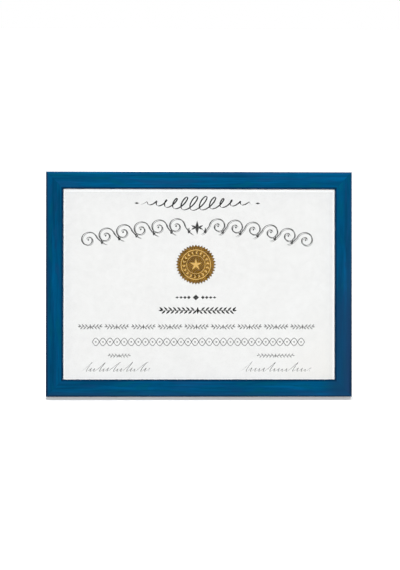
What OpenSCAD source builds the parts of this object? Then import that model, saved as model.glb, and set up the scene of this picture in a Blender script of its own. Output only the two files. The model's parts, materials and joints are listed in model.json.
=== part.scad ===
// Certificate frame: a mitred wood moulding glazed over one sheet, with a lift-out back panel
// held by turn buttons, a hinged easel leg behind it and a sawtooth hanger on the top rail.
// It stands on its bottom edge and its leg, leaning back. X runs along the frame, Y points
// backwards and Z points up. The origin is on the floor, under the middle of the whole.

/* [Sheet] */
// Width of the sheet that the frame holds
sheet_w = 297; // [240:1:360]
// Height of the sheet that the frame holds
sheet_h = 210; // [180:1:280]
// Thickness of the sheet
sheet_t = 0.25; // [0.1:0.05:0.5]

/* [Moulding] */
// Width of the moulding across its face
rail_w = 18.6; // [16:0.2:26]
// Depth of the moulding from front to back
rail_t = 16; // [13:0.5:24]
// Radius of the outer front edge
arris_r = 3.6; // [2:0.2:5]
// Radius that eases the inner front edge
sight_r = 1; // [0.4:0.1:1.6]
// How far the lip covers the edge of the sheet
lip_cover = 3; // [2:0.5:5]
// Play between the edge of the sheet and the rabbet
sheet_play = 1; // [0.4:0.1:2]

/* [Glazing and backing] */
// Thickness of the glass
glass_t = 2; // [1.5:0.1:3]
// Thickness of the filler board behind the sheet
filler_t = 5; // [2:0.25:6]
// Thickness of the back panel
panel_t = 3; // [2:0.25:4]
// Gap between the back panel and the rabbet, on each side
panel_play = 0.5; // [0.2:0.1:0.8]

/* [Foil seal] */
// Diameter of the seal over the tips of its teeth
seal_d = 43; // [40:0.2:60]
// Depth of the teeth
seal_tooth = 2.2; // [1:0.1:4]
// Number of teeth
seal_teeth = 40; // [24:1:60]
// Radius of the outer raised ring
seal_ring_r = 15.8; // [12.5:0.1:17]
// Radius of the inner raised ring
seal_inner_r = 9.9; // [7:0.1:10.6]
// Width of the raised rings
seal_ring_w = 0.9; // [0.5:0.1:1.5]
// Number of beads between the two rings
seal_beads = 18; // [12:1:24]
// Radius of the beads
seal_bead_r = 1; // [0.6:0.1:1.2]
// Thickness of the foil disc
seal_t = 0.15; // [0.1:0.01:0.2]
// Height of the embossing above the disc
seal_relief = 0.15; // [0.1:0.01:0.2]
// How far the seal's centre is left of the middle of the sheet
seal_left = 3.5; // [0:0.5:10]
// How far the seal's centre is above the middle of the sheet
seal_up = 22.1; // [10:0.1:30]

/* [Easel leg] */
// How far the frame leans back, in degrees
lean_angle = 12; // [8:1:18]
// Distance of the hinge pin below the top edge of the frame
hinge_drop = 92; // [75:1:110]
// Thickness of the leg
leg_t = 4; // [3:0.25:5]
// Width of the leg at the hinge
leg_top_w = 44; // [36:1:60]
// Width of the leg at its foot
leg_foot_w = 70; // [50:1:90]
// Corner radius of the foot
leg_corner_r = 8; // [4:0.5:12]
// Gap between the folded leg and the back panel
leg_gap = 0.6; // [0.5:0.05:1]

/* [Hinge] */
// Width of the hinge along its pin
hinge_w = 24; // [18:1:32]
// Width of the middle knuckle
mid_knuckle_w = 10; // [6:0.5:14]
// Length of each leaf from the pin
leaf_len = 26; // [20:0.5:32]
// Thickness of the leaves
leaf_t = 0.9; // [0.7:0.05:1.2]
// Radius of the leaves' free corners
leaf_corner_r = 2.5; // [1:0.25:4]
// Radius of the pin
pin_r = 1.25; // [0.9:0.05:1.5]
// Radius of the rivets' shanks
rivet_r = 1.4; // [1:0.1:2]
// Radius of the rivets' heads
rivet_head_r = 2.6; // [2.2:0.1:3.2]
// Distance between the two rivets of a leaf
rivet_pitch = 13; // [10:0.5:16]

/* [Turn buttons] */
// Width of a turn button
button_w = 9; // [7:0.5:12]
// Length of a turn button from its screw to its tip
button_reach = 17; // [14:0.5:22]
// Thickness of a turn button
button_t = 1; // [0.7:0.1:1.5]
// Height of the pressed rib along a turn button
button_rib = 0.5; // [0.3:0.1:0.8]
// Distance of the long rails' turn buttons from the middle of the rail
button_offset = 88; // [60:1:110]
// Radius of the screws' shanks
screw_r = 1.4; // [1:0.1:1.8]
// Radius of the screws' heads
screw_head_r = 3.1; // [2.6:0.1:3.6]
// Depth of the screws in the wood
screw_depth = 9; // [6:0.5:11]

/* [Sawtooth hanger] */
// Length of the hanger
hanger_w = 46; // [36:1:60]
// Height of the hanger
hanger_h = 9; // [7:0.5:11]
// Thickness of the hanger's steel
hanger_t = 0.8; // [0.6:0.1:1.2]
// How far the toothed bridge stands off the wood
hanger_rise = 1.6; // [1.2:0.1:2.5]
// Number of teeth along the bridge
hanger_teeth = 13; // [7:2:17]
// Radius of the hanger's nails
nail_r = 0.7; // [0.5:0.1:1]

/* [Corner nails] */
// Length of each arm of a corner nail
corner_nail_arm = 5; // [3:0.5:7]
// Thickness of the corner nails' steel
corner_nail_t = 0.6; // [0.4:0.1:1]
// Depth of the corner nails in the wood
corner_nail_depth = 7; // [5:0.5:9]

/* [Hidden] */
$fn = 64;
play = 0.05;            // running play of a pin, screw, rivet or nail in its hole
over = 1;               // how far a cutting shape runs past what it cuts

STAIN = "#064e78";
STEEL = "#b9bcc0";
BLACK = "#1b1b1d";

// Moulding
rabbet_w = lip_cover + sheet_play;
land_w = rail_w - rabbet_w;                    // back of a rail, beside the rabbet
frame_w = sheet_w - 2 * lip_cover + 2 * rail_w;
frame_h = sheet_h - 2 * lip_cover + 2 * rail_w;
rabbet_open_w = frame_w - 2 * land_w;
rabbet_open_h = frame_h - 2 * land_w;

// Layers in the rabbet, from the back: panel, filler, sheet, seal and glass
sheet_back_y = -panel_t - filler_t;
sheet_front_y = sheet_back_y - sheet_t;
glass_back_y = sheet_front_y - seal_t - seal_relief - play;
lip_y = glass_back_y - glass_t;

// The four sides, in the order bottom, left, top, right
SIDE_TURN = [0, 90, 180, -90];
SIDE_LENGTH = [frame_w, frame_h, frame_w, frame_h];
SIDE_PLACE = [[0, 0, 0], [-frame_w / 2, 0, frame_h / 2], [0, 0, frame_h], [frame_w / 2, 0, frame_h / 2]];

// Turn buttons: the side that each is on, and its place along that rail
BUTTONS = [[0, -button_offset], [0, button_offset], [1, 0], [2, button_offset], [2, -button_offset], [3, 0]];
button_y = 2 * play;                           // underside of a button, above the wood
button_top_y = button_y + button_t;

// Hinge, which fills the space from the panel to the outside of the leg's leaf
hinge_z = frame_h - hinge_drop;
knuckle_gap = 0.5;                             // between the knuckles and the panel
knuckle_r = (leg_gap + leg_t + leaf_t - knuckle_gap) / 2;
knuckle_play = 0.15;                           // between neighbouring knuckles
side_knuckle_w = (hinge_w - mid_knuckle_w) / 2 - knuckle_play;
leaf_relief = knuckle_r + 0.4;                 // from the pin to the straight edge of a leaf
pin_y = knuckle_gap + knuckle_r;
pin_head_r = pin_r + 0.6;
pin_head_t = 0.8;
rivet_head_t = 1;
rivet_row = (leaf_len + leaf_relief) / 2;      // from the pin to the rivets

// Easel leg: the frame and the leg lean alike, so the leg opens by twice the lean
leg_open = 2 * lean_angle;
leg_in = pin_y - leg_gap;                      // from the pin to the leg's inner face
leg_out = leg_t - leg_in;                      // from the pin to the leg's outer face
stop_gap = 0.1;                                // between the open leg's shoulders and the panel
stop_rise = (pin_y - stop_gap - leg_in * cos(leg_open)) / sin(leg_open);
notch_half = hinge_w / 2 + pin_head_t + 0.4;
notch_depth = knuckle_r + 0.6;
pin_place_y = pin_y * cos(lean_angle) + hinge_z * sin(lean_angle);
pin_place_z = hinge_z * cos(lean_angle) - pin_y * sin(lean_angle);
leg_reach = pin_place_z / cos(lean_angle) + leg_out * tan(lean_angle);
leg_taper = atan((leg_foot_w - leg_top_w) / 2 / (leg_reach + stop_rise));

// Depth of the whole, which puts the origin under its middle
front_y = -rail_t * cos(lean_angle) + arris_r * (cos(lean_angle) + sin(lean_angle) - 1);
foot_y = pin_place_y + leg_out * cos(lean_angle) + leg_reach * sin(lean_angle);
middle_y = (front_y + foot_y) / 2;

// Hanger, across the middle of the top rail's land
hanger_z = frame_h - land_w / 2;
hanger_pad = 7;                                // flat end of the hanger, under its nail
hanger_ramp = 3;                               // slope from the flat end up to the bridge
hanger_nail_x = hanger_w / 2 - hanger_pad / 2;
bridge_w = hanger_w - 2 * hanger_pad - 2 * hanger_ramp;
tooth_pitch = bridge_w / (hanger_teeth + 1);
nail_head_r = 2 * nail_r + 0.4;
nail_head_t = 0.7;
nail_depth = 8;

// Stands the upright frame on its lower back edge, leaning back
module lean() {
    translate([0, -middle_y, 0]) rotate([-lean_angle, 0, 0]) children();
}

// Carries children from the bottom rail to the same place on another side
module on_side(side) {
    translate(SIDE_PLACE[side]) rotate([0, SIDE_TURN[side], 0]) children();
}

// A plate drawn in x and z, from y = from back to y = from + thick
module plate(from, thick) {
    translate([0, from + thick, 0]) rotate([90, 0, 0]) linear_extrude(thick) children();
}

// A round bar along y, from y = from back to y = to
module bar_y(r, from, to) {
    translate([0, from, 0]) rotate([-90, 0, 0]) cylinder(r = r, h = to - from);
}

// A low domed head on y = from, standing out backwards
module domed_head(r, from, height) {
    dome_r = (r * r + height * height) / (2 * height);
    translate([0, from, 0]) rotate([-90, 0, 0]) intersection() {
        cylinder(r = r, h = height + over);
        translate([0, 0, height - dome_r]) sphere(r = dome_r);
        cylinder(r = r + over, h = height + over);
    }
}

// Section of the moulding: depth from the back along x, distance from the outer edge along y
module moulding_profile() {
    difference() {
        union() {
            translate([arris_r - rail_t, 0]) square([rail_t - arris_r, rail_w]);
            translate([-rail_t, arris_r]) square([rail_t, rail_w - arris_r - sight_r]);
            translate([sight_r - rail_t, arris_r]) square([rail_t - sight_r, rail_w - arris_r]);
            translate([arris_r - rail_t, arris_r]) circle(r = arris_r);
            translate([sight_r - rail_t, rail_w - sight_r]) circle(r = sight_r);
        }
        translate([lip_y, land_w]) square([over - lip_y, rabbet_w + over]);
    }
}

module mitred_bar(length) {
    end = length / 2 + over;
    intersection() {
        translate([-end, 0, 0]) rotate([90, 0, 90]) linear_extrude(2 * end) moulding_profile();
        plate(-rail_t - over, rail_t + 2 * over)
            polygon([[-end, -over], [end, -over], [end - rail_w - 2 * over, rail_w + over],
                     [rail_w + 2 * over - end, rail_w + over]]);
    }
}

// An L of sheet steel across each mitre, driven in flush with the back of the wood
module corner_nail(from_edge) {
    plate(-corner_nail_depth, corner_nail_depth)
        translate([from_edge, from_edge])
        union() {
            square([corner_nail_arm, corner_nail_t]);
            square([corner_nail_t, corner_nail_arm]);
        }
}

module corner_nail_bodies() {
    for (sx = [0, 1], sz = [0, 1], share = [0.35, 0.72])
        translate([(sx - 0.5) * frame_w, 0, sz * frame_h])
            mirror([sx, 0, 0]) mirror([0, 0, sz]) corner_nail(share * land_w);
}

module at_button(button) {
    on_side(button[0]) translate([button[1], 0, land_w / 2]) children();
}

module at_hanger_nails() {
    for (s = [-1, 1]) translate([s * hanger_nail_x, 0, hanger_z]) children();
}

// One stained rail, with the holes and slots of what is driven into its back
module rail(side) {
    color(STAIN) lean() difference() {
        on_side(side) mitred_bar(SIDE_LENGTH[side]);
        corner_nail_bodies();
        for (button = BUTTONS)
            if (button[0] == side) at_button(button) bar_y(screw_r + play, -screw_depth - play, over);
        if (side == 2) at_hanger_nails() bar_y(nail_r + play, -nail_depth - play, over);
    }
}

module corner_nails() {
    color(STEEL) lean() corner_nail_bodies();
}

// A flat layer standing on the rabbet of the bottom rail
module layer(width, height, from, thick) {
    translate([-width / 2, from, land_w]) cube([width, thick, height]);
}

module glass_pane() {
    color("#dfeff2", 0.3) lean() layer(sheet_w, sheet_h, lip_y, glass_t);
}

module certificate_sheet() {
    color("#f0f0ef") lean() layer(sheet_w, sheet_h, sheet_front_y, sheet_t);
}

module filler_board() {
    color("#d9d2c4") lean() layer(sheet_w, sheet_h, sheet_back_y, filler_t);
}

module ring_2d(r, width) {
    difference() {
        circle(r = r + width / 2);
        circle(r = r - width / 2);
    }
}

// Tips and roots of the toothed rim, in turn
function rim_points(teeth, tip_r, root_r) =
    [for (i = [0 : 2 * teeth - 1]) (i % 2 == 0 ? tip_r : root_r) * [sin(180 * i / teeth), cos(180 * i / teeth)]];

// The embossed gold disc on the sheet: toothed rim, beads between two rings and a plain star
module foil_seal() {
    relief_y = sheet_front_y - seal_t - seal_relief;
    star_r = seal_inner_r - 2 * seal_ring_w;
    star_core = 0.382;                         // inner corners of a five-pointed star, as a share
    color("#b8872f") lean() translate([-seal_left, 0, land_w + sheet_h / 2 + seal_up]) {
        plate(sheet_front_y - seal_t, seal_t)
            polygon(rim_points(seal_teeth, seal_d / 2, seal_d / 2 - seal_tooth));
        plate(relief_y, seal_relief + seal_t / 2) {
            ring_2d(seal_ring_r, seal_ring_w);
            ring_2d(seal_inner_r, seal_ring_w);
            for (i = [1 : seal_beads])
                rotate(360 * i / seal_beads) translate([0, (seal_ring_r + seal_inner_r) / 2])
                    circle(r = seal_bead_r);
            polygon(rim_points(5, star_r, star_core * star_r));
        }
    }
}

module at_pin() {
    translate([0, pin_y, hinge_z]) children();
}

// Places of a leaf's two rivets, above the pin for up = 1 and below it for up = -1
module at_rivets(up) {
    at_pin() for (s = [-1, 1]) translate([s * rivet_pitch / 2, -pin_y, up * rivet_row]) children();
}

module back_panel() {
    color(BLACK) lean() difference() {
        layer(rabbet_open_w - 2 * panel_play, rabbet_open_h - 2 * panel_play, -panel_t, panel_t);
        at_rivets(1) bar_y(rivet_r + play, -panel_t - over, over);
    }
}

module bar_x(r, length) {
    translate([-length / 2, 0, 0]) rotate([0, 90, 0]) cylinder(r = r, h = length);
}

// A leaf's plate: straight beside the knuckles, round at its two free corners
module leaf_outline() {
    square_len = leaf_len - leaf_corner_r - leaf_relief;
    corner_x = hinge_w / 2 - leaf_corner_r;
    translate([-hinge_w / 2, leaf_relief]) square([hinge_w, square_len]);
    translate([-corner_x, leaf_relief]) square([2 * corner_x, leaf_len - leaf_relief]);
    for (s = [-1, 1]) translate([s * corner_x, leaf_len - leaf_corner_r]) circle(r = leaf_corner_r);
}

module side_knuckles() {
    for (s = [-1, 1])
        translate([s * (hinge_w - side_knuckle_w) / 2, 0, 0]) bar_x(knuckle_r, side_knuckle_w);
}

// The leaf on the panel, with the two outer knuckles
module hinge_back_leaf() {
    color(STEEL) lean() difference() {
        union() {
            at_pin() side_knuckles();
            at_pin() plate(-pin_y, leaf_t) {
                leaf_outline();
                for (s = [0, 1])
                    mirror([s, 0]) translate([hinge_w / 2 - side_knuckle_w, 0])
                        square([side_knuckle_w, leaf_relief + over]);
            }
        }
        at_pin() bar_x(pin_r + play, hinge_w + 2 * over);
        at_rivets(1) bar_y(rivet_r + play, -over, leaf_t + over);
    }
}

module hinge_back_rivets() {
    color(STEEL) lean() at_rivets(1) {
        bar_y(rivet_r, -panel_t, leaf_t + play);
        domed_head(rivet_head_r, leaf_t + play, rivet_head_t);
    }
}

module hinge_pin() {
    color(STEEL) lean() at_pin() {
        bar_x(pin_r, hinge_w + 2 * play + pin_head_t);
        for (s = [-1, 1])
            translate([s * (hinge_w / 2 + play + pin_head_t / 2), 0, 0]) bar_x(pin_head_r, pin_head_t);
    }
}

// Carries the leg's pieces from folded flat to standing open
module opened() {
    lean() at_pin() rotate([leg_open, 0, 0]) children();
}

module at_leg_rivets() {
    for (s = [-1, 1]) translate([s * rivet_pitch / 2, 0, -rivet_row]) children();
}

// The leaf on the leg, with the middle knuckle
module hinge_leg_leaf() {
    color(STEEL) opened() difference() {
        union() {
            bar_x(knuckle_r, mid_knuckle_w);
            plate(leg_out, leaf_t) {
                mirror([0, 1]) leaf_outline();
                translate([-mid_knuckle_w / 2, -leaf_relief - over])
                    square([mid_knuckle_w, leaf_relief + over]);
            }
        }
        bar_x(pin_r + play, hinge_w);
        at_leg_rivets() bar_y(rivet_r + play, leg_out - over, leg_out + leaf_t + over);
    }
}

module hinge_leg_rivets() {
    head_y = leg_out + leaf_t + play;
    color(STEEL) opened() at_leg_rivets() {
        bar_y(rivet_r, -leg_in, head_y);
        domed_head(rivet_head_r, head_y, rivet_head_t);
    }
}

// Outline of the leg: shoulders above the pin, tapering out to a foot with round corners
module leg_outline() {
    corner_x = leg_foot_w / 2 - leg_corner_r * (tan(leg_taper) + 1 / cos(leg_taper));
    corner = [for (i = [0 : 8]) let (a = leg_taper - i * (90 + leg_taper) / 8)
        [corner_x + leg_corner_r * cos(a), leg_corner_r - leg_reach + leg_corner_r * sin(a)]];
    left = [for (i = [8 : -1 : 0]) [-corner[i][0], corner[i][1]]];
    difference() {
        polygon(concat([[leg_top_w / 2, stop_rise]], corner, left, [[-leg_top_w / 2, stop_rise]]));
        translate([-notch_half, -notch_depth]) square([2 * notch_half, notch_depth + stop_rise + over]);
    }
}

module easel_leg() {
    color(BLACK) difference() {
        opened() difference() {
            plate(-leg_in, leg_t) leg_outline();
            at_leg_rivets() bar_y(rivet_r + play, -leg_in - over, leg_out + over);
        }
        translate([-leg_foot_w, -frame_h, -frame_h]) cube([2 * leg_foot_w, 2 * frame_h, frame_h]);
    }
}

// Bent strip with a raised bridge, toothed along its lower edge
module sawtooth_hanger() {
    ramp_x = hanger_w / 2 - hanger_pad;
    half = [[hanger_w / 2, hanger_t], [ramp_x, hanger_t], [ramp_x - hanger_ramp, hanger_rise + hanger_t]];
    under = [[ramp_x - hanger_ramp, hanger_rise], [ramp_x, 0], [hanger_w / 2, 0]];
    strip = concat(half, [for (i = [2 : -1 : 0]) [-half[i][0], half[i][1]]],
                   [for (i = [2 : -1 : 0]) [-under[i][0], under[i][1]]], under);
    color(STEEL) lean() difference() {
        translate([0, 0, hanger_z - hanger_h / 2]) linear_extrude(hanger_h) polygon(strip);
        for (i = [1 : hanger_teeth])
            translate([(i - (hanger_teeth + 1) / 2) * tooth_pitch, 0, hanger_z - hanger_h / 2])
                plate(-over, hanger_rise + hanger_t + 2 * over)
                polygon([[-tooth_pitch / 2, -over / 100], [0, tooth_pitch * 0.6], [tooth_pitch / 2, -over / 100]]);
        at_hanger_nails() bar_y(nail_r + play, -over, hanger_t + over);
    }
}

module hanger_nails() {
    color(STEEL) lean() at_hanger_nails() {
        bar_y(nail_r, -nail_depth, hanger_t + play);
        domed_head(nail_head_r, hanger_t + play, nail_head_t);
    }
}

// A stamped strip with round ends and a pressed rib, turning about its screw
module turn_button(index) {
    tip = button_reach - button_w / 2;
    rib_w = button_w / 3;
    rib_start = screw_head_r + rib_w / 2 + 0.6;
    color(STEEL) lean() at_button(BUTTONS[index]) difference() {
        union() {
            plate(button_y, button_t) {
                circle(r = button_w / 2);
                translate([-button_w / 2, 0]) square([button_w, tip]);
                translate([0, tip]) circle(r = button_w / 2);
            }
            plate(button_y, button_t + button_rib) {
                translate([0, rib_start]) circle(r = rib_w / 2);
                translate([-rib_w / 2, rib_start]) square([rib_w, tip - rib_start]);
                translate([0, tip]) circle(r = rib_w / 2);
            }
        }
        bar_y(screw_r + play, -over, button_top_y + over);
    }
}

// Pan-head screws with a cross recess, one through each turn button
module turn_button_screws() {
    head_y = button_top_y + play;
    head_t = 1.7;
    recess_w = 0.7;
    recess_depth = 0.9;
    color(STEEL) lean() for (button = BUTTONS) at_button(button) difference() {
        union() {
            bar_y(screw_r, -screw_depth, head_y);
            domed_head(screw_head_r, head_y, head_t);
        }
        for (turn = [0, 90])
            rotate([0, turn + 45, 0])
                translate([-screw_head_r * 0.6, head_y + head_t - recess_depth, -recess_w / 2])
                cube([screw_head_r * 1.2, recess_depth + over, recess_w]);
    }
}

rail(0);  // rail_bottom
rail(1);  // rail_left
rail(2);  // rail_top
rail(3);  // rail_right
corner_nails();
glass_pane();
certificate_sheet();
foil_seal();
filler_board();
back_panel();
hinge_back_leaf();
hinge_back_rivets();
hinge_pin();
hinge_leg_leaf();
hinge_leg_rivets();
easel_leg();
sawtooth_hanger();
hanger_nails();
turn_button(0);  // turn_button_bottom_left
turn_button(1);  // turn_button_bottom_right
turn_button(2);  // turn_button_left
turn_button(3);  // turn_button_top_left
turn_button(4);  // turn_button_top_right
turn_button(5);  // turn_button_right
turn_button_screws();
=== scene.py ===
"""Looks of the certificate frame: stained wood, glass, a parchment sheet printed with ornament, an
embossed foil seal, and the felt-faced back with its plated hardware."""

import json
import math
import random

import bmesh
import bpy
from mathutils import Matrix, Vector


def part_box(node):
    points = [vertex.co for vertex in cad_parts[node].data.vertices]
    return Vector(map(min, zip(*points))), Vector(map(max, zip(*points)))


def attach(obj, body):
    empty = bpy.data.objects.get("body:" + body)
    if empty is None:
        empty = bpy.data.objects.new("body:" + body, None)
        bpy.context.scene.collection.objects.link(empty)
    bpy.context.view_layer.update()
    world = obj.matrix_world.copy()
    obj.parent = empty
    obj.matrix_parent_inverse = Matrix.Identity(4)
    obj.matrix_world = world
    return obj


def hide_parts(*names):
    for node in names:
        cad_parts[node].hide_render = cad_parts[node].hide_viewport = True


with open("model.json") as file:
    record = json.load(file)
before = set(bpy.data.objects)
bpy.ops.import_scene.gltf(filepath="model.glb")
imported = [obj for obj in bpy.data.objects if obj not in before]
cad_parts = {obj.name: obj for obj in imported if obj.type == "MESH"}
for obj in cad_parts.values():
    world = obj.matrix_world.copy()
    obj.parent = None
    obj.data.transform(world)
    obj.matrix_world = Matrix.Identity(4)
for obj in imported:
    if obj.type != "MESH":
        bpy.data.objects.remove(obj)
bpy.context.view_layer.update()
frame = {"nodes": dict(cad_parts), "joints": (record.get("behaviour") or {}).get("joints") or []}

MM = 0.001
nodes = frame["nodes"]
joints = {joint["name"]: joint for joint in frame["joints"]}

# Directions of the leaning frame, from the axis on which its turn buttons turn
RIGHT = Vector((1, 0, 0))
BACK = Vector(joints["turn_left"]["axis"]).normalized()
UP = RIGHT.cross(BACK)


def span(node, direction):
    """Least and greatest reach of a CAD node along a direction."""
    reach = [vertex.co.dot(direction) for vertex in nodes[node].data.vertices]
    return min(reach), max(reach)


def middle(node):
    low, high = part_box(node)
    return (low + high) / 2


# Places on the frame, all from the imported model
rail_front = span("rail_bottom", BACK)[0]
frame_left, frame_right = span("rail_bottom", RIGHT)
frame_bottom = span("rail_bottom", UP)[0]
frame_top = span("rail_top", UP)[1]
frame_up = (frame_bottom + frame_top) / 2
rail_width = span("rail_left", RIGHT)[1] - frame_left
sheet_front = span("certificate_sheet", BACK)[0]
sheet_middle = middle("certificate_sheet")
sheet_half_width = span("certificate_sheet", RIGHT)[1] - sheet_middle.dot(RIGHT)
sheet_half_height = span("certificate_sheet", UP)[1] - sheet_middle.dot(UP)
seal_x = (middle("foil_seal") - sheet_middle).dot(RIGHT) / MM
seal_up = (middle("foil_seal") - sheet_middle).dot(UP) / MM
seal_tip_r = (span("foil_seal", RIGHT)[1] - span("foil_seal", RIGHT)[0]) / 2 / MM
seal_front = (sheet_front - span("foil_seal", BACK)[0]) / MM


def on_sheet(x, up, above=0.0):
    """The point x mm right of the sheet's middle, up mm above it and above mm in front of the paper."""
    point = sheet_middle + RIGHT * (x * MM) + UP * (up * MM)
    return point + BACK * (sheet_front - point.dot(BACK) - above * MM)


# Materials
def grey(value):
    return (value, value, value, 1)


class Surface:
    """One material's node tree, with short calls for the nodes used here."""

    def __init__(self, name):
        self.material = bpy.data.materials.new(name)
        self.material.use_nodes = True
        self.tree = self.material.node_tree
        self.tree.nodes.clear()
        self.output = self.add("OutputMaterial")
        self.place = self.add("TexCoord").outputs["Object"]

    def add(self, kind, inputs=None, **settings):
        node = self.tree.nodes.new("ShaderNode" + kind)
        for key, value in settings.items():
            setattr(node, key, value)
        for key, value in (inputs or {}).items():
            if isinstance(value, bpy.types.NodeSocket):
                self.tree.links.new(value, node.inputs[key])
            else:
                node.inputs[key].default_value = value
        return node

    def math(self, operation, a, b=0.0):
        return self.add("Math", {0: a, 1: b}, operation=operation).outputs[0]

    def along(self, direction, offset=0.0):
        """Distance along a direction from the origin, less offset, in metres."""
        dot = self.add("VectorMath", {0: self.place, 1: tuple(direction)}, operation="DOT_PRODUCT")
        return self.math("SUBTRACT", dot.outputs["Value"], offset)

    def vector(self, x, y, z):
        return self.add("CombineXYZ", {0: x, 1: y, 2: z}).outputs[0]

    def scaled(self, vector, scale):
        return self.add("VectorMath", {0: vector, 1: scale}, operation="MULTIPLY").outputs[0]

    def noise(self, vector, scale=1.0, detail=3.0, roughness=0.55, distortion=0.0):
        node = self.add("TexNoise", {"Vector": vector, "Scale": scale, "Detail": detail,
                                     "Roughness": roughness, "Distortion": distortion})
        return node.outputs["Fac"]

    def blend(self, *parts):
        """The sum of values, each given with its share."""
        total = 0.0
        for value, share in parts:
            total = self.math("ADD", total, self.math("MULTIPLY", value, share))
        return total

    def fade(self, value, start, end, low=0.0, high=1.0):
        """A smooth step from low at start to high at end, of which either may be the greater."""
        if end < start:
            start, end, low, high = end, start, high, low
        node = self.add("MapRange", {"Value": value, "From Min": start, "From Max": end,
                                     "To Min": low, "To Max": high}, interpolation_type="SMOOTHSTEP")
        return node.outputs["Result"]

    def ramp(self, value, stops):
        node = self.add("ValToRGB", {"Fac": value})
        elements = node.color_ramp.elements
        while len(elements) < len(stops):
            elements.new(0.5)
        for element, (position, colour) in zip(elements, stops):
            element.position = position
            element.color = (*colour, 1)
        return node.outputs["Color"]

    def mix(self, factor, a, b, blend_type="MIX"):
        node = self.add("Mix", {0: factor, 6: a, 7: b}, data_type="RGBA", blend_type=blend_type)
        return node.outputs[2]

    def bump(self, height, distance, strength=1.0):
        node = self.add("Bump", {"Height": height, "Distance": distance, "Strength": strength})
        return node.outputs["Normal"]

    def uneven(self, value, least, more):
        """A roughness that is least where value is 0, and more above that where it is 1."""
        return self.math("ADD", self.math("MULTIPLY", value, more), least)

    def shade(self, **inputs):
        """A Principled shader, whose sockets are named with underscores for spaces."""
        named = {key.replace("_", " "): value for key, value in inputs.items()}
        return self.add("BsdfPrincipled", named).outputs[0]

    def done(self, shader):
        self.tree.links.new(shader, self.output.inputs["Surface"])
        return self.material


# Stain colours, linear: where it lies thick, evenly and thin, and where it turns green or violet.
# Then painted shade beside the outer edge and towards the lower right corner, and the colour of the
# painted shade lines along the outer and sight edges, which is also that of the dark mitre joints
STAIN_DARK = (0.0006, 0.046, 0.112)
STAIN_MID = (0.0002, 0.065, 0.16)
STAIN_BRIGHT = (0.0001, 0.094, 0.238)
STAIN_GREEN = (0.0002, 0.076, 0.134, 1)
STAIN_VIOLET = (0.006, 0.052, 0.145, 1)
EDGE_SHADE_COLOUR = (0.0116, 0.038, 0.105, 1)
CORNER_SHADE_COLOUR = (0.008, 0.038, 0.096, 1)
EDGE_SHADE_AND_JOINT_COLOUR = (0.002, 0.019, 0.054, 1)
PORE_SHADE = 0.35
WAVY_LINE_DARK = 0.4
LACQUER_TINT = (0.03, 0.42, 1.0, 1)

# Scales of the wood's patterns, per metre along the grain, across it and into the wood
CLOUD_SCALE = (11, 70, 70)
STREAK_SCALE = (10, 260, 260)
FINE_SCALE = (30, 900, 900)
PORE_SCALE = (75, 2400, 2400)
TINT_SCALE = (19, 100, 100)

# How far behind the front the stain's marks and the painted shade start to fade and are gone, and
# how far they wander
MARKS_FADE = (6 * MM, 10 * MM)
WANDER = 1.2 * MM

# A wavy line along the rail: where the darker wood outside it ends, its half width where it is
# full and where it is gone, and how much darker it is than that wood
OUTSIDE_ENDS = (-0.2 * MM, 0.5 * MM)
WAVY_LINE_HALF = (0.2 * MM, 0.8 * MM)
WAVY_LINE_MORE = 1.4

# Painted shade in dark lines along the outer edge and the sight edge, and dark joints at the
# mitres. The outer line's width is OUTER_LINE times the sum of OUTER_LINE_LEAST and the share of
# painted edge shade there
OUTER_LINE = 2.8 * MM
OUTER_LINE_LEAST = 0.3
SIGHT_LINE = 2.3 * MM
MITRE_LINE = 0.35 * MM

# Painted shade towards the lower right corner: where it starts and is full, from the right edge and
# from the bottom edge, and how much of it there is
CORNER_SHADE_FROM_RIGHT = (36 * MM, 14 * MM)
CORNER_SHADE_FROM_BOTTOM = (160 * MM, 70 * MM)
CORNER_SHADE_SHARE = 0.65


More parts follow.
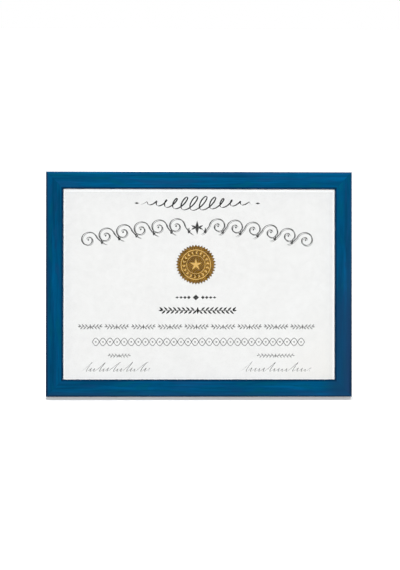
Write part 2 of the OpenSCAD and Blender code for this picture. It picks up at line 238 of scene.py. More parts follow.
def stained_wood(name, length_way, inward, edge, edge_shade, wavy_line, lift, seed):
    """Blue-stained grain along length_way, with painted shade along its edges. inward points across the
    rail's face from its outer edge, which lies at edge. The next argument is how far in from there the
    painted shade beside the outer edge reaches, and how much of it there is at the rail's start and end.
    The one after is how far in a wavy line runs at the start and end, and how much darker the wood is
    outside it. lift brightens the rail."""
    s = Surface(name)
    on_side = length_way.dot(UP) > 0.5
    half_length = (frame_top - frame_bottom if on_side else frame_right - frame_left) / 2
    length = s.along(length_way, frame_up if on_side else 0.0)
    across = s.along(inward, edge)
    depth = s.along(BACK, rail_front)

    def lengthwise(at_start, at_end):
        """A value that goes from at_start to at_end along the rail."""
        return s.fade(length, -half_length, half_length, at_start, at_end)

    # Grain
    grain_place = s.vector(s.math("ADD", length, seed), across, depth)
    clouds = s.noise(s.scaled(grain_place, CLOUD_SCALE), detail=2.0, distortion=0.5)
    streaks = s.noise(s.scaled(grain_place, STREAK_SCALE), detail=3.0, roughness=0.6, distortion=0.35)
    fine = s.noise(s.scaled(grain_place, FINE_SCALE), detail=3.0, roughness=0.6)
    pores = s.noise(s.scaled(grain_place, PORE_SCALE), detail=2.0)
    tint = s.noise(s.scaled(grain_place, TINT_SCALE), detail=2.0, distortion=0.9)
    tone = s.blend((clouds, 0.42), (streaks, 0.43), (fine, 0.15))
    colour = s.ramp(tone, [(0.39, STAIN_DARK), (0.5, STAIN_MID), (0.62, STAIN_BRIGHT)])
    colour = s.mix(s.fade(tint, 0.53, 0.66, 0.0, 0.55), colour, STAIN_GREEN)
    colour = s.mix(s.fade(tint, 0.47, 0.34, 0.0, 0.5), colour, STAIN_VIOLET)
    colour = s.mix(s.fade(pores, 0.48, 0.34, 0.0, 0.3), colour, grey(PORE_SHADE), "MULTIPLY")
    colour = s.mix(1.0, colour, grey(lift), "MULTIPLY")

    # A wavy line along the rail, and the darker wood between it and the outer edge
    wander = s.math("MULTIPLY", s.math("SUBTRACT", streaks, 0.5), WANDER)
    from_edge = s.math("ADD", across, wander)
    at_front = s.fade(depth, *MARKS_FADE, 1.0, 0.0)
    line_start, line_end, darker = wavy_line
    past_line = s.math("SUBTRACT", from_edge, lengthwise(line_start, line_end))
    outside = s.fade(past_line, *OUTSIDE_ENDS, darker, 0.0)
    on_line = s.fade(s.math("ABSOLUTE", past_line), *WAVY_LINE_HALF, WAVY_LINE_MORE * darker, 0.0)
    lined = s.math("MULTIPLY", at_front, s.math("MAXIMUM", outside, on_line))
    colour = s.mix(lined, colour, grey(WAVY_LINE_DARK), "MULTIPLY")

    # Painted shade, darker towards the lower right corner and in a band beside the outer edge
    corner_shade = s.math("MULTIPLY", s.fade(s.along(-RIGHT, -frame_right), *CORNER_SHADE_FROM_RIGHT),
                    s.fade(s.along(UP, frame_bottom), *CORNER_SHADE_FROM_BOTTOM))
    colour = s.mix(s.math("MULTIPLY", corner_shade, CORNER_SHADE_SHARE), colour, CORNER_SHADE_COLOUR)
    reach, at_start, at_end = edge_shade
    share = s.math("MULTIPLY", at_front, lengthwise(at_start, at_end))
    near_edge = s.fade(from_edge, 0.1 * reach, reach, 1.0, 0.0)
    colour = s.mix(s.math("MULTIPLY", share, near_edge), colour, EDGE_SHADE_COLOUR)

    # Painted shade in dark lines along the outer and sight edges, and dark joints at the mitres
    in_line = s.math("DIVIDE", from_edge, s.math("ADD", share, OUTER_LINE_LEAST))
    outer = s.math("MULTIPLY", s.math("SQRT", share), s.fade(in_line, OUTER_LINE, 0.5 * OUTER_LINE))
    inner = s.fade(across, rail_width - SIGHT_LINE, rail_width - 0.6 * SIGHT_LINE, 0.0, 0.9)
    colour = s.mix(s.math("MULTIPLY", at_front, s.math("MAXIMUM", outer, inner)), colour, EDGE_SHADE_AND_JOINT_COLOUR)
    to_mitre = s.math("SUBTRACT", s.math("SUBTRACT", half_length, across), s.math("ABSOLUTE", length))
    colour = s.mix(s.fade(to_mitre, MITRE_LINE, 0.0, 0.0, 0.3), colour, EDGE_SHADE_AND_JOINT_COLOUR)

    relief = s.blend((pores, 1.0), (streaks, 0.6))
    return s.done(s.shade(Base_Color=colour, Roughness=s.uneven(pores, 0.3, 0.2), Specular_IOR_Level=0.2,
                          Specular_Tint=LACQUER_TINT, Normal=s.bump(relief, 0.06 * MM, 0.5)))


# Glass with a low index, which keeps its reflections faint
GLASS_TINT = (0.985, 0.995, 0.99, 1)
GLASS_IOR = 1.2


def clear_glass():
    """Thin picture glass that lamps and scattered light shine straight through."""
    s = Surface("picture_glass")
    pane = s.shade(Base_Color=GLASS_TINT, Roughness=0.0, IOR=GLASS_IOR, Transmission_Weight=1.0)
    open_way = s.add("BsdfTransparent").outputs[0]
    path = s.add("LightPath").outputs
    pane = s.add("MixShader", {0: path["Is Diffuse Ray"], 1: pane, 2: open_way}).outputs[0]
    return s.done(s.add("MixShader", {0: path["Is Shadow Ray"], 1: pane, 2: open_way}).outputs[0])


# Paper colours, linear: its mottle from dark to light, its warmer part, and its plain margin. The
# warmth grows to the lower right, by the distance right of the middle less the distance above it
PAPER_DARK = (0.832, 0.828, 0.825)
PAPER_MID = (0.857, 0.853, 0.85)
PAPER_LIGHT = (0.88, 0.877, 0.875)
PAPER_WARM = (0.87, 0.85, 0.815, 1)
PAPER_MARGIN = grey(0.99)
WARM_REACH = (130 * MM, 270 * MM)
MARGIN = 5.0 * MM
MARGIN_BLUR = 0.3 * MM


def parchment():
    """Mottled off-white paper with a plain white margin round its edge."""
    s = Surface("parchment_paper")
    x = s.along(RIGHT, sheet_middle.dot(RIGHT))
    up = s.along(UP, sheet_middle.dot(UP))
    place = s.vector(x, up, 0.0)
    mottle = s.noise(place, scale=150.0, detail=3.0, roughness=0.6, distortion=0.6)
    blotch = s.noise(place, scale=28.0, detail=2.0)
    fibre = s.noise(s.scaled(place, (900, 260, 1)), detail=2.0)
    tone = s.blend((mottle, 0.6), (blotch, 0.4))
    colour = s.ramp(tone, [(0.36, PAPER_DARK), (0.5, PAPER_MID), (0.64, PAPER_LIGHT)])
    colour = s.mix(s.fade(s.math("SUBTRACT", x, up), *WARM_REACH, 0.0, 0.7), colour, PAPER_WARM)
    side = s.math("SUBTRACT", sheet_half_width, s.math("ABSOLUTE", x))
    end = s.math("SUBTRACT", sheet_half_height, s.math("ABSOLUTE", up))
    margin = s.fade(s.math("MINIMUM", side, end), MARGIN, MARGIN - MARGIN_BLUR)
    colour = s.mix(margin, colour, PAPER_MARGIN)
    return s.done(s.shade(Base_Color=colour, Roughness=0.85, Specular_IOR_Level=0.1,
                          Normal=s.bump(s.blend((fibre, 1.0), (mottle, 1.0)), 0.05 * MM, 0.4)))


INK_UNEVEN = 0.2


def ink(name, tone):
    """Printing ink, a little uneven as a press leaves it."""
    s = Surface(name)
    uneven = s.noise(s.place, scale=1400.0, detail=2.0)
    thick, thin = tone * (1 - INK_UNEVEN), tone * (1 + INK_UNEVEN)
    colour = s.ramp(uneven, [(0.35, (thick,) * 3), (0.65, (thin,) * 3)])
    return s.done(s.shade(Base_Color=colour, Roughness=0.7, Specular_IOR_Level=0.1))


# Colours of the felt paper, between its fibres, on them and where it is worn, and of the board inside
FELT_DARK = (0.006, 0.006, 0.007)
FELT_LIGHT = (0.022, 0.022, 0.024)
FELT_WORN = (0.035, 0.034, 0.034, 1)
CORE_DARK = (0.075, 0.048, 0.028)
CORE_LIGHT = (0.16, 0.11, 0.068)


def felt_board(name, face_way):
    """Fibreboard faced in black felt paper, its brown core bare along the cut edges. face_way is the
    way that its face looks."""
    s = Surface(name)
    fuzz = s.noise(s.place, scale=2600.0, detail=4.0, roughness=0.7)
    wear = s.noise(s.place, scale=35.0, detail=3.0)
    felt = s.ramp(fuzz, [(0.3, FELT_DARK), (0.7, FELT_LIGHT)])
    felt = s.mix(s.fade(wear, 0.5, 0.75, 0.0, 0.4), felt, FELT_WORN)
    fibres = s.noise(s.place, scale=900.0, detail=4.0, roughness=0.8)
    core = s.ramp(fibres, [(0.3, CORE_DARK), (0.7, CORE_LIGHT)])
    normal = s.add("TexCoord").outputs["Normal"]
    facing = s.add("VectorMath", {0: normal, 1: tuple(face_way)}, operation="DOT_PRODUCT")
    on_edge = s.fade(s.math("ABSOLUTE", facing.outputs["Value"]), 0.3, 0.6, 1.0, 0.0)
    colour = s.mix(on_edge, felt, core)
    return s.done(s.shade(Base_Color=colour, Roughness=0.95, Specular_IOR_Level=0.15, Sheen_Weight=0.25,
                          Sheen_Roughness=0.5, Normal=s.bump(fuzz, 0.15 * MM, 0.7)))


# Nickel, as shares of its tone, where it is dull and where it is clean
NICKEL_DULL = (0.68, 0.66, 0.62)
NICKEL_CLEAN = (1.0, 0.99, 0.96)


def plated_steel(name, brush_way, tone=0.4):
    """Nickel-plated pressed steel with faint draw lines along brush_way."""
    s = Surface(name)
    across = BACK.cross(brush_way)
    place = s.vector(s.along(brush_way), s.along(across), s.along(BACK))
    lines = s.noise(s.scaled(place, (120, 4200, 1500)), detail=2.0)
    cloud = s.noise(s.place, scale=90.0, detail=2.0)
    worn = s.blend((cloud, 0.5), (lines, 0.5))
    dull, clean = ([tone * share for share in shares] for shares in (NICKEL_DULL, NICKEL_CLEAN))
    colour = s.ramp(worn, [(0.36, dull), (0.62, clean)])
    return s.done(s.shade(Base_Color=colour, Metallic=1.0, Roughness=s.uneven(lines, 0.18, 0.25),
                          Normal=s.bump(lines, 0.02 * MM, 0.5)))


CHIP_DARK = (0.42, 0.38, 0.31)
CHIP_LIGHT = (0.66, 0.62, 0.54)


def grey_board():
    """Recycled chipboard."""
    s = Surface("grey_filler_board")
    fleck = s.noise(s.place, scale=700.0, detail=4.0, roughness=0.8)
    colour = s.ramp(fleck, [(0.3, CHIP_DARK), (0.7, CHIP_LIGHT)])
    return s.done(s.shade(Base_Color=colour, Roughness=0.9, Specular_IOR_Level=0.1))


def finish_node(node, material):
    nodes[node].data.materials.clear()
    nodes[node].data.materials.append(material)


# The grain of the bottom and top rails runs to the right, and that of the side rails upwards
rails = {
    "rail_bottom": dict(length_way=RIGHT, inward=UP, edge=frame_bottom, lift=1.05, seed=0.37,
                        edge_shade=(9.0 * MM, 0.5, 0.3), wavy_line=(6.5 * MM, 7.5 * MM, 0.04)),
    "rail_left": dict(length_way=UP, inward=RIGHT, edge=frame_left, lift=1.01, seed=1.91,
                      edge_shade=(4.5 * MM, 0.9, 0.6), wavy_line=(4.5 * MM, 3.0 * MM, 0.08)),
    "rail_top": dict(length_way=RIGHT, inward=-UP, edge=-frame_top, lift=1.2, seed=3.28,
                     edge_shade=(2.5 * MM, 0.2, 0.4), wavy_line=(7.6 * MM, 4.2 * MM, 0.2)),
    "rail_right": dict(length_way=UP, inward=-RIGHT, edge=-frame_right, lift=1.12, seed=5.64,
                       edge_shade=(12.0 * MM, 1.0, 0.05), wavy_line=(6.0 * MM, 6.8 * MM, 0.04)),
}
for rail, settings in rails.items():
    finish_node(rail, stained_wood("blue_stain_" + rail, **settings))

# The open leg's face looks backwards, turned down by the angle through which the leg folds
leg_open = -math.radians(joints["leg_fold"]["range_deg"][0])
leg_way = BACK * math.cos(leg_open) - UP * math.sin(leg_open)
finish_node("glass_pane", clear_glass())
finish_node("certificate_sheet", parchment())
finish_node("filler_board", grey_board())
finish_node("back_panel", felt_board("felt_back", BACK))
finish_node("easel_leg", felt_board("felt_leg", leg_way))

# Metal, by the way that its draw lines run
metal = (
    (plated_steel("nickel_plate", RIGHT),
     ("hinge_back_leaf", "hinge_leg_leaf", "sawtooth_hanger", "corner_nails", "turn_button_left",
      "turn_button_right")),
    (plated_steel("nickel_plate_upright", UP),
     ("turn_button_bottom_left", "turn_button_bottom_right", "turn_button_top_left",
      "turn_button_top_right")),
    (plated_steel("bright_steel", RIGHT, tone=0.5),
     ("hinge_back_rivets", "hinge_leg_rivets", "hinge_pin", "hanger_nails", "turn_button_screws")),
)
for plating, plated_nodes in metal:
    for node in plated_nodes:
        finish_node(node, plating)


def place_piece(name, mesh, material, smooth=False):
    """Turns a bmesh into a piece that rides on the frame."""
    bmesh.ops.recalc_face_normals(mesh, faces=mesh.faces)
    for face in mesh.faces:
        face.smooth = smooth
    data = bpy.data.meshes.new(name)
    mesh.to_mesh(data)
    mesh.free()
    data.materials.append(material)
    piece = bpy.data.objects.new(name, data)
    bpy.context.scene.collection.objects.link(piece)
    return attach(piece, "root")


# Ink, as thin flat strokes lying on the paper: its height in mm, and the share of a stroke's points
# over which each of its ends tapers
INK_HEIGHT = 0.03
TAPER = 0.08


class Print:
    """A group of ink strokes that becomes one piece on the sheet."""

    def __init__(self, name, material):
        self.name = name
        self.material = material
        self.mesh = bmesh.new()

    def slab(self, outline):
        """A flat inked shape, from its outline in mm on the sheet."""
        base = [self.mesh.verts.new(on_sheet(x, up)) for x, up in outline]
        top = [self.mesh.verts.new(on_sheet(x, up, INK_HEIGHT)) for x, up in outline]
        self.mesh.faces.new(top)
        self.mesh.faces.new(base[::-1])
        for i in range(len(outline)):
            j = (i + 1) % len(outline)
            self.mesh.faces.new((base[i], base[j], top[j], top[i]))

    def stroke(self, points, width, nib=0.0, nib_angle=40.0, end=0.25):
        """A pen stroke through points. width is in mm, nib is the share of it that a broad nib held
        at nib_angle takes off where the pen runs along its edge, and end the share left at the ends."""
        last = len(points) - 1
        sides = ([], [])
        for i, (x, up) in enumerate(points):
            ax, aup = points[max(i - 1, 0)]
            bx, bup = points[min(i + 1, last)]
            way = math.atan2(bup - aup, bx - ax)
            share = 1 - nib * (1 - abs(math.sin(way - math.radians(nib_angle))))
            taper = min(1.0, end + (1 - end) * min(i, last - i) / max(last * TAPER, 1))
            half = width * share * taper / 2
            for side, line in zip((1, -1), sides):
                place = (x - side * math.sin(way) * half, up + side * math.cos(way) * half)
                line.append([self.mesh.verts.new(on_sheet(*place, above)) for above in (0, INK_HEIGHT)])
        lefts, rights = sides
        for i in range(last):
            (a0, a1), (b0, b1) = lefts[i], lefts[i + 1]
            (c0, c1), (d0, d1) = rights[i], rights[i + 1]
            for face in ((a1, b1, d1, c1), (c0, d0, b0, a0), (a0, b0, b1, a1), (c1, d1, d0, c0)):
                self.mesh.faces.new(face)
        for i in (0, last):
            (a0, a1), (c0, c1) = lefts[i], rights[i]
            self.mesh.faces.new((a0, a1, c1, c0))

    def lozenge(self, x, up, half_x, half_up):
        self.slab([(x + half_x, up), (x, up + half_up), (x - half_x, up), (x, up - half_up)])

    def dot(self, x, up, radius, sides=12):
        turns = [2 * math.pi * i / sides for i in range(sides)]
        self.slab([(x + radius * math.cos(turn), up + radius * math.sin(turn)) for turn in turns])

    def leaf(self, x, up, length, width, angle):
        """A pointed leaf that grows from x, up at an angle in degrees."""
        way = (math.cos(math.radians(angle)), math.sin(math.radians(angle)))
        outline = [(x + way[0] * a - way[1] * b, up + way[1] * a + way[0] * b)
                   for a, b in leaf_outline(length, width)]
        self.slab(outline)

    def place(self):
        return place_piece(self.name, self.mesh, self.material)


# Below 1, this makes a leaf widest before its middle
LEAF_CURVE = 0.8


def leaf_outline(length, width, steps=7):
    """Outline of a leaf that starts at 0, 0 and lies along x."""
    side = []
    for i in range(steps):
        half = width / 2 * math.sin(math.pi * (i / steps) ** LEAF_CURVE)
        side.append((length * i / steps, half))
    return side + [(length, 0.0)] + [(x, -y) for x, y in side[:0:-1]]


def mirrored(angle, side):
    """An angle in degrees for the right, where side is 1, or its mirror image for the left."""
    return angle if side > 0 else 180 - angle


BLACK_INK = ink("ink_black", 0.02)
DARK_INK = ink("ink_dark", 0.045)
GREY_INK = ink("ink_grey", 0.14)
PALE_INK = ink("ink_pale", 0.34)

# Running ovals of a broad pen at the head of the sheet, with a lozenge past each end. Sizes here and
# in the other ornament are in mm, and places are in mm from the sheet's middle
HEAD_LEFT, HEAD_RIGHT, HEAD_UP, HEAD_GAP = -62.0, 58.0, 88.0, 5
HEAD_LOOPS, HEAD_ROUND, HEAD_SLANT = 12, 0.62, 0.6
HEAD_HALF_LEAST, HEAD_HALF_MORE = 1.4, 6.2


def running_ovals(steps=26):
    """Slanting ovals run together in one line, high at its middle and low at its ends."""
    points = []
    for i in range(HEAD_LOOPS * steps + 1):
        share = i / (HEAD_LOOPS * steps)
        turn = 2 * math.pi * HEAD_LOOPS * share - math.pi / 2
        half = HEAD_HALF_LEAST + HEAD_HALF_MORE * math.cos((2 * share - 1) * math.pi / 2) ** 2
        rise = half * math.sin(turn)
        along = HEAD_LEFT + (HEAD_RIGHT - HEAD_LEFT) * share
        points.append((along + HEAD_ROUND * half * math.cos(turn) + HEAD_SLANT * rise, HEAD_UP + rise))
    return points


flourish = Print("ink_head_flourish", BLACK_INK)
flourish.stroke(running_ovals(), width=1.45, nib=0.87, nib_angle=-28, end=0.1)
for x in (HEAD_LEFT - HEAD_GAP, HEAD_RIGHT + HEAD_GAP):
    flourish.lozenge(x, HEAD_UP, half_x=2.6, half_up=1.0)
flourish.place()

# Arched running scroll with leaves. A scroll rises over RISE_REACH times its radius, and curls round
# an eye that is EYE_REACH times its radius from its start, by CURL_TURN half turns, while its radius
# shrinks by the share CURL_SHRINK
ARCH_RADIUS = 440.0
ARCH_BASE = 54.6
ARCH_SHIFT = -2.2
SCROLLS, SCROLL_START, SCROLL_PITCH, SCROLL_R = 6, 4.0, 18.7, 9.3
RISE_REACH, EYE_REACH = 0.95, 1.95
CURL_TURN, CURL_SHRINK = 2.8, 0.82
SHADE_SHIFT = 0.95
CROWN_UP = 7.4


def on_arch(distance, height):
    """A point of the arch, distance mm along it from its crown and height mm above its base line."""
    angle = distance / ARCH_RADIUS
    reach = ARCH_RADIUS + height
    return reach * math.sin(angle) + ARCH_SHIFT, ARCH_BASE - ARCH_RADIUS + reach * math.cos(angle)


def running_scroll(start, way, shift=0.0, rise_steps=12, curl_steps=44):
    """A wave that rises from the base line and curls over, heading way along the arch."""
    points = []
    for i in range(rise_steps):
        t = i / rise_steps
        rise = SCROLL_R * (1.0 - math.cos(t * math.pi / 2))
        points.append((start + way * t * RISE_REACH * SCROLL_R, rise))
    eye = start + way * EYE_REACH * SCROLL_R
    for i in range(curl_steps + 1):
        t = i / curl_steps
        radius = SCROLL_R * (1 - CURL_SHRINK * t)
        angle = math.pi * (1 - CURL_TURN * t)
        points.append((eye + way * radius * math.cos(angle), SCROLL_R + radius * math.sin(angle)))
    return [on_arch(distance + shift, height - shift) for distance, height in points]


arch = Print("ink_arched_scroll", DARK_INK)
arch_shade = Print("ink_arched_shade", PALE_INK)
for side in (-1, 1):
    for index in range(SCROLLS):
        start = side * (SCROLL_START + index * SCROLL_PITCH)
        arch.stroke(running_scroll(start, side), width=1.25, nib=0.62, nib_angle=20)
        arch_shade.stroke(running_scroll(start, side, SHADE_SHIFT), width=0.62)
        eye_x, eye_up = on_arch(start + side * EYE_REACH * SCROLL_R, SCROLL_R)
        arch.dot(eye_x, eye_up, radius=0.9)
        tilt = -math.degrees(start / ARCH_RADIUS)
        leaf_x, leaf_up = on_arch(start + side * 0.6 * SCROLL_R, 1.2)
        for turn, length in ((100, 6.5), (128, 4.6)):
            arch.leaf(leaf_x, leaf_up, length, width=1.7, angle=tilt + mirrored(turn, side))
crown_x, crown_up = on_arch(0, CROWN_UP)
arch.lozenge(crown_x, crown_up, half_x=2.2, half_up=CROWN_UP)
for side in (-1, 1):
    for turn in (24, -24):
        arch.leaf(crown_x + side * 1.4, crown_up, length=5.6, width=1.8, angle=mirrored(turn, side))
arch_shade.place()
arch.place()

# A small device of lozenges in a row
SMALL_X, SMALL_UP = -3.5, -13.2
small = Print("ink_small_device", DARK_INK)
small.lozenge(SMALL_X, SMALL_UP, half_x=3.4, half_up=3.0)
for side in (-1, 1):
    for step in range(4):
        x = SMALL_X + side * (7.5 + 4.2 * step)
        small.lozenge(x, SMALL_UP, half_x=1.9, half_up=1.9 - 0.25 * step)
small.place()


def sprig(sheet_print, left, right, up, pairs, length, width, spread, stem):
    """Two leafy branches that meet in the middle, with a bud between them. length and width are a
    leaf's, spread is its angle from the stem in degrees, and stem is the stem's width."""
    centre = (left + right) / 2
    pitch = (right - left) / 2 / (pairs + 0.7)
    reach = (right - left) / 2 - length * 0.7
    for side in (-1, 1):
        sheet_print.stroke([(centre + side * reach * t / 6, up) for t in range(7)], stem)
        for i in range(pairs):
            for way in (-1, 1):
                x = centre + side * pitch * (i + 0.55 + 0.25 * way)
                angle = mirrored(way * spread, side)
                sheet_print.leaf(x, up + way * stem * 0.3, length, width, angle)
        sheet_print.leaf(centre + side * reach, up, length * 0.8, width, mirrored(0, side))
    sheet_print.lozenge(centre, up, width * 0.9, length * 0.75)


# Bold laurel, and a row of fine sprigs under it
laurel = Print("ink_laurel", BLACK_INK)
sprig(laurel, left=-43, right=40, up=-27.2, pairs=8, length=5.4, width=1.82, spread=42, stem=0.6)
laurel.place()
SPRIGS, SPRIGS_LEFT, SPRIGS_RIGHT, SPRIGS_UP, SPRIG_GAP = 9, -131.0, 125.5, -44.7, 1.2
sprig_pitch = (SPRIGS_RIGHT - SPRIGS_LEFT) / SPRIGS
fine_sprigs = Print("ink_fine_sprigs", GREY_INK)
for i in range(SPRIGS):
    left = SPRIGS_LEFT + i * sprig_pitch
    sprig(fine_sprigs, left + SPRIG_GAP, left + sprig_pitch - SPRIG_GAP, SPRIGS_UP, pairs=3, length=3.9,
          width=1.15, spread=45, stem=0.4)
fine_sprigs.place()

# Plaited band of two waves, with a lozenge in each of its eyes
PLAIT_LEFT, PLAIT_RIGHT, PLAIT_UP, PLAIT_HALF = -114.5, 113.5, -60.9, 4.1
PLAITS, PLAIT_STEPS = 15, 20
plait_length = (PLAIT_RIGHT - PLAIT_LEFT) / PLAITS


def plait_wave(phase):
    """One strand of the plait."""
    steps = PLAITS * PLAIT_STEPS
    points = []
    for i in range(steps + 1):
        x = PLAIT_LEFT + (PLAIT_RIGHT - PLAIT_LEFT) * i / steps
        angle = 2 * math.pi * (x - PLAIT_LEFT) / plait_length + phase
        points.append((x, PLAIT_UP + PLAIT_HALF * math.sin(angle)))
    return points


plait = Print("ink_plaited_band", GREY_INK)
for phase in (0, math.pi):
    plait.stroke(plait_wave(phase), width=0.66, end=1.0)
for i in range(2 * PLAITS):
    plait.lozenge(PLAIT_LEFT + (i + 0.5) * plait_length / 2, PLAIT_UP, half_x=1.1, half_up=0.9)
plait.place()

# Small sprigs near both lower corners
FOOT_SPRIG_UP, FOOT_SPRIG_PITCH = -75.6, 8.5
for label, left, right in (("left", -98, -73.5), ("right", 62, 102.5)):
    foot_sprig = Print("ink_caption_" + label, GREY_INK)
    sprig(foot_sprig, left, right, FOOT_SPRIG_UP, pairs=round((right - left) / FOOT_SPRIG_PITCH),
          length=2.9, width=0.95, spread=48, stem=0.35)
    foot_sprig.place()

# Pen scribbles under them: the half heights of tall and of low loops, the depth of the dent in the
# top of the tallest ones, and from which half height they have it
SCRIBBLE_UP = -92.5
SCRIBBLE_SLANT = 0.95
TALL_LOOP = (4.6, 6.0)
LOW_LOOP = (1.1, 2.0)
DENT, DENT_FROM = 1.6, 5.4


def scribble(left, right, up, seed, least_loops=15, steps=24):
    """A looping line of low loops, with a tall one now and then."""
    chance = random.Random(seed)
    heights = []
    while len(heights) < least_loops:
        heights.append(chance.uniform(*TALL_LOOP))
        for _ in range(chance.randint(2, 4)):
            heights.append(chance.uniform(*LOW_LOOP))
    widths = [0.8 + 0.22 * height for height in heights]
    scale = (right - left) / sum(widths)
    points = []
    x = left
    for height, width in zip(heights, widths):
        for i in range(steps):
            turn = 2 * math.pi * i / steps
            rise = height * (1 - math.cos(turn))
            drop = DENT * math.sin(turn / 2) ** 8 if height > DENT_FROM else 0.0
            sway = 0.3 * (0.8 + height * 0.35) * math.sin(turn)
            points.append((x + scale * width * i / steps + sway + SCRIBBLE_SLANT * rise, up + rise - drop))
        x += scale * width
    return points


for label, left, right, seed in (("left", -127, -54, 4), ("right", 43.5, 119, 11)):
    pen_line = Print("ink_signature_" + label, DARK_INK)
    pen_line.stroke(scribble(left, right, SCRIBBLE_UP, seed), width=0.76, nib=0.92, nib_angle=18)
    pen_line.place()

# Seal, as one embossed disc: its edge is toothed, and its face has a height for each place on it.
# Lengths are in mm, and the rings' heights and the star's edge are shares of the relief
SEAL_TEETH = 40
SEAL_ROOT_R = seal_tip_r - 2.2
SEAL_STEP = 0.2
SEAL_DISC = 0.13
SEAL_UNDER = 0.01
PLEAT_HEIGHT, PLEAT_RISE = 0.05, 1.5
SEAL_RING_R, SEAL_INNER_R, SEAL_RING_W = 15.8, 9.9, 1.3
OUTER_RING_HEIGHT, INNER_RING_HEIGHT = 0.85, 0.65
RIDGE_CURVE = 0.8
WREATH_R, WREATH_LEAVES, WREATH_LEAN = 12.85, 18, math.radians(38)
WREATH_START, WREATH_LENGTH, WREATH_HALF = 0.2, 2.9, 0.85
STAR_R, STAR_NOTCH, STAR_EDGE = 7.2, 0.382, 0.35


def bump_of(distance, half_width):
    """A round ridge: 1 on its crest, 0 from half_width away."""
    return math.cos(min(abs(distance) / half_width, 1.0) * math.pi / 2) ** RIDGE_CURVE


def leaf_height(x, y):
    """Height of the wreath's leaves, two to each step, slanting out from its middle line."""
    step = 2 * math.pi / WREATH_LEAVES
    turn = math.atan2(x, y)
    out = math.hypot(x, y) - WREATH_R
    best = 0.0
    for near in (math.floor(turn / step), math.ceil(turn / step)):
        along = (turn - near * step) * WREATH_R
        for way in (-1, 1):
            lean = way * WREATH_LEAN
            a = along * math.cos(lean) + out * math.sin(lean) + WREATH_START
            b = -along * math.sin(lean) + out * math.cos(lean)
            share = a / WREATH_LENGTH
            if 0 < share < 1:
                half = WREATH_HALF * math.sin(math.pi * share ** LEAF_CURVE)
                best = max(best, bump_of(b, half))
    return best


def star_height(x, y):
    """Height of a five-pointed star whose points fall away in two facets from a sharp ridge."""
    radius = math.hypot(x, y)
    fifth = 2 * math.pi / 5
    turn = abs((math.atan2(x, y) + fifth / 2) % fifth - fifth / 2)
    along, aside = radius * math.cos(turn), radius * math.sin(turn)
    notch_r = STAR_NOTCH * STAR_R
    notch_along, notch_aside = notch_r * math.cos(fifth / 2), notch_r * math.sin(fifth / 2)
    edge = notch_aside * (STAR_R - along) / (STAR_R - notch_along)
    if along > STAR_R or aside >= edge:
        return 0.0
    ridge = 1 - aside / edge
    point = min(1.0, (STAR_R - along) / 2)
    return min(1.0, STAR_EDGE + (1 - STAR_EDGE) * ridge * point)


def seal_height(x, y):
    """Height of the seal's face over the paper, x right of its centre and y above it."""
    radius = math.hypot(x, y)
    past_ring = radius - SEAL_RING_R - SEAL_RING_W
    if past_ring > 0:
        pleat = 0.5 + 0.5 * math.cos(SEAL_TEETH * math.atan2(x, y))
        return SEAL_DISC + PLEAT_HEIGHT * pleat * min(1.0, past_ring / PLEAT_RISE)
    rise = max(OUTER_RING_HEIGHT * bump_of(radius - SEAL_RING_R, SEAL_RING_W / 2),
               INNER_RING_HEIGHT * bump_of(radius - SEAL_INNER_R, SEAL_RING_W / 2))
    if SEAL_INNER_R < radius < SEAL_RING_R:
        rise = max(rise, leaf_height(x, y))
    if radius < SEAL_INNER_R:
        rise = max(rise, star_height(x, y))
    return SEAL_DISC + (seal_front - SEAL_DISC - SEAL_UNDER) * rise


# Foil colours: its field from dark to mid, the painted highlight on the raised relief, and its teeth
GOLD_DARK = (0.135, 0.066, 0.009)
GOLD_MID = (0.26, 0.13, 0.019)
GOLD_HIGHLIGHT = (0.76, 0.48, 0.14, 1)
GOLD_TOOTH = (0.13, 0.068, 0.006, 1)


def gold_foil():
    """Embossed foil: brown in its hollows, with a painted highlight where it stands up, darker towards its
    teeth.
    """
    s = Surface("gold_foil")
    x = s.along(RIGHT, sheet_middle.dot(RIGHT) + seal_x * MM)
    up = s.along(UP, sheet_middle.dot(UP) + seal_up * MM)
    radius = s.add("VectorMath", {0: s.vector(x, up, 0.0)}, operation="LENGTH").outputs["Value"]
    height = s.math("SUBTRACT", sheet_front, s.along(BACK))
    grain = s.noise(s.place, scale=1500.0, detail=2.0)
    cloud = s.noise(s.place, scale=130.0, detail=2.0, distortion=0.6)
    tone = s.blend((cloud, 0.85), (grain, 0.15))
    field = s.ramp(tone, [(0.38, GOLD_DARK), (0.62, GOLD_MID)])
    # Painted highlight where the relief stands up
    raised = s.fade(height, (SEAL_DISC + 0.02) * MM, (seal_front - 0.03) * MM)
    painted_highlight = s.math("MULTIPLY", raised, s.fade(tone, 0.3, 0.6, 0.62, 1.0))
    colour = s.mix(painted_highlight, field, GOLD_HIGHLIGHT)
    at_teeth = s.fade(radius, (SEAL_ROOT_R - 1.0) * MM, (seal_tip_r - 0.8) * MM, 0.0, 0.85)
    colour = s.mix(at_teeth, colour, GOLD_TOOTH)
    return s.done(s.shade(Base_Color=colour, Metallic=1.0, Roughness=s.uneven(grain, 0.28, 0.15),
                          Normal=s.bump(grain, 0.02 * MM, 0.15)))


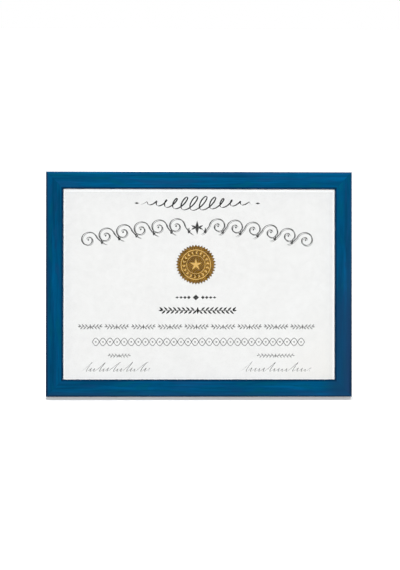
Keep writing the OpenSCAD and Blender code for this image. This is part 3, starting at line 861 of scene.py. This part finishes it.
def embossed_seal():
    """The seal as rings of vertices, from its middle out to its teeth and down to the paper."""
    turns = SEAL_TEETH * 10
    radii = [SEAL_STEP * i for i in range(1, int(SEAL_ROOT_R / SEAL_STEP))] + [SEAL_ROOT_R]
    mesh = bmesh.new()

    def ring(reach, height=None):
        places = []
        for i in range(turns):
            turn = 2 * math.pi * i / turns
            r = reach(turn)
            x, y = r * math.sin(turn), r * math.cos(turn)
            above = seal_height(x, y) if height is None else height
            places.append(mesh.verts.new(on_sheet(seal_x + x, seal_up + y, above)))
        return places

    def rim(share):
        """Reach of the toothed edge, share of the way from the teeth's roots to their tips."""
        def reach(turn):
            tooth = abs((turn * SEAL_TEETH / (2 * math.pi)) % 1 * 2 - 1)
            return SEAL_ROOT_R + (seal_tip_r - SEAL_ROOT_R) * tooth * share
        return reach

    rings = [ring(lambda turn, r=r: r) for r in radii]
    rings += [ring(rim(share)) for share in (0.34, 0.67, 1.0)]
    rings.append(ring(rim(1.0), 0.0))
    top = mesh.verts.new(on_sheet(seal_x, seal_up, seal_height(0, 0)))
    for i in range(turns):
        j = (i + 1) % turns
        mesh.faces.new((top, rings[0][i], rings[0][j]))
        for low, high in zip(rings, rings[1:]):
            mesh.faces.new((low[i], high[i], high[j], low[j]))
    mesh.faces.new(rings[-1])
    piece = place_piece("embossed_seal", mesh, gold_foil(), smooth=True)
    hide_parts("foil_seal")
    return piece


embossed_seal()


# Stage: a plain white floor that keeps the frame's shadow, and soft lamps. The floor's shade of grey
# is FLOOR_SEEN to the eye, where it also glows by FLOOR_GLOW, and FLOOR_THROWN for the light that it
# throws back. FLOOR_HALF is half its side in metres
FLOOR_SEEN, FLOOR_GLOW, FLOOR_THROWN = 0.9, 0.25, 0.12
FLOOR_HALF = 8.0


def seen_directly(surface):
    """One for rays from the camera and for those mirrored or bent on their way from it."""
    path = surface.add("LightPath").outputs
    bent = surface.math("MAXIMUM", path["Is Glossy Ray"], path["Is Transmission Ray"])
    return surface.math("MAXIMUM", path["Is Camera Ray"], bent)


def white_floor():
    """White to the eye, and dark for the light that it throws back on the frame."""
    s = Surface("white_floor")
    seen = seen_directly(s)
    thrown = s.add("BsdfDiffuse", {"Color": grey(FLOOR_THROWN)}).outputs[0]
    white = s.add("BsdfDiffuse", {"Color": grey(FLOOR_SEEN)}).outputs[0]
    paint = s.add("MixShader", {0: seen, 1: thrown, 2: white}).outputs[0]
    glow_strength = s.math("MULTIPLY", seen, FLOOR_GLOW)
    glow = s.add("Emission", {"Color": grey(1.0), "Strength": glow_strength}).outputs[0]
    return s.done(s.add("AddShader", {0: paint, 1: glow}).outputs[0])


corners = [(x * FLOOR_HALF, y * FLOOR_HALF, 0) for x, y in ((-1, -1), (1, -1), (1, 1), (-1, 1))]
floor_data = bpy.data.meshes.new("floor")
floor_data.from_pydata(corners, [], [(0, 1, 2, 3)])
floor_data.materials.append(white_floor())
floor = bpy.data.objects.new("floor", floor_data)
bpy.context.scene.collection.objects.link(floor)

# The surround is white where it is seen, and dimmer as a light
AMBIENT = 0.2
world = bpy.data.worlds.new("surround")
bpy.context.scene.world = world
world.use_nodes = True
world.node_tree.nodes.clear()


class Sky(Surface):
    """The world's node tree, with the calls of a surface."""

    def __init__(self, tree):
        self.tree = tree


sky = Sky(world.node_tree)
strength = sky.fade(seen_directly(sky), 0.0, 1.0, AMBIENT, 1.0)
sky_light = sky.add("Background", {"Color": grey(1.0), "Strength": strength}).outputs[0]
sky.add("OutputWorld", {"Surface": sky_light})


def from_angles(azimuth, elevation):
    """Direction to a thing at azimuth, in degrees to the right of straight in front, and elevation."""
    a, e = math.radians(azimuth), math.radians(elevation)
    return Vector((math.sin(a) * math.cos(e), -math.cos(a) * math.cos(e), math.sin(e)))


def soft_sun(name, toward, level, softness, left_out=()):
    """A far soft lamp in direction toward. level is the brightness it gives a white face turned to it,
    and left_out names the kinds of ray that don't see it."""
    data = bpy.data.lights.new(name, "SUN")
    data.energy = level * math.pi
    data.angle = math.radians(softness)
    lamp = bpy.data.objects.new(name, data)
    bpy.context.scene.collection.objects.link(lamp)
    lamp.rotation_mode = "QUATERNION"
    lamp.rotation_quaternion = toward.to_track_quat("Z", "Y")
    for ray in left_out:
        setattr(lamp, "visible_" + ray, False)


# The key lamp lights the face, and the top lamp shines down along it. Neither shows as gloss or in
# the glass, where the key lamp's mirror image would glare over the sheet. The glint lamp shows only
# as gloss, and the rear lamp lights the back
soft_sun("key_lamp", from_angles(-2, 14), level=0.875, softness=5, left_out=("glossy", "transmission"))
soft_sun("glint_lamp", from_angles(-38, 48), level=0.3, softness=20, left_out=("diffuse", "transmission"))
soft_sun("top_lamp", (UP - RIGHT * 0.02).normalized(), level=0.8, softness=1.5,
         left_out=("glossy", "transmission"))
soft_sun("rear_lamp", from_angles(150, 40), level=0.6, softness=12)

# Camera, square to the face but for a little turn, aimed AIM_OFFSET from the middle of the rails' front
CAMERA_LENS, CAMERA_SENSOR = 105.0, 36.0
CAMERA_DISTANCE = 1.778
CAMERA_AZIMUTH, CAMERA_ELEVATION, CAMERA_ROLL = -1.49, 11.5, 0.35
AIM_OFFSET = Vector((0.75 * MM, 0, -0.9 * MM))
target = UP * frame_up + BACK * rail_front + AIM_OFFSET
to_camera = from_angles(CAMERA_AZIMUTH, CAMERA_ELEVATION)
camera_data = bpy.data.cameras.new("camera")
camera_data.lens = CAMERA_LENS
camera_data.sensor_width = CAMERA_SENSOR
camera = bpy.data.objects.new("camera", camera_data)
bpy.context.scene.collection.objects.link(camera)
camera.location = target + to_camera * CAMERA_DISTANCE
camera.rotation_euler = (-to_camera).to_track_quat("-Z", "Y").to_euler()
camera.rotation_euler.rotate_axis("Z", math.radians(CAMERA_ROLL))
bpy.context.scene.camera = camera
bpy.context.scene.view_settings.view_transform = "Standard"
